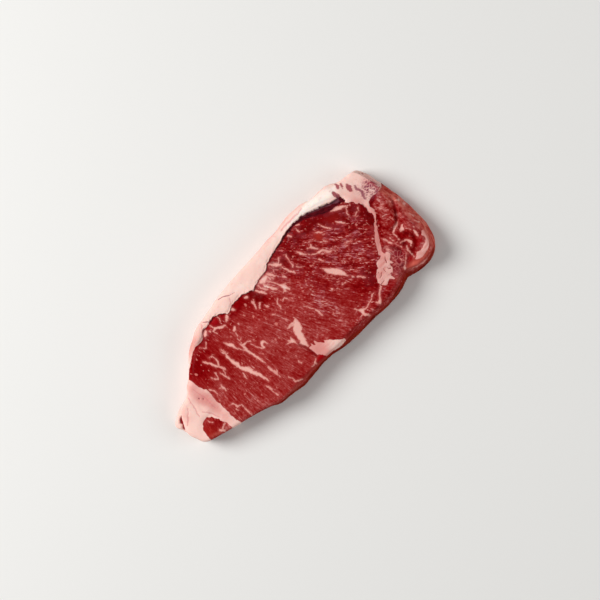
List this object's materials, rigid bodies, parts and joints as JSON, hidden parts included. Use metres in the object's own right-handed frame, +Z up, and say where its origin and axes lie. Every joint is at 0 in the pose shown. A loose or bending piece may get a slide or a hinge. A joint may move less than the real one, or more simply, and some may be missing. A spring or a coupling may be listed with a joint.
{
  "type": "raw striploin steak",
  "caption": "Raw boneless beef steak lying flat, with an eye muscle, a fat cap along one long side, a fatty tail and a smaller end muscle.",
  "frame": {"origin": "middle of the bounding box on the resting face", "axes": "+X along the steak from its fatty tail to the end muscle, +Y towards the fat cap, +Z up through the thickness"},
  "size_m": [0.2248, 0.0957, 0.0238],
  "materials": {
    "raw_meat": "moist red lean with cream fat, semi-gloss"
  },
  "bodies": {
    "root": {"striploin_steak": "raw_meat"}
  },
  "joints": []
}
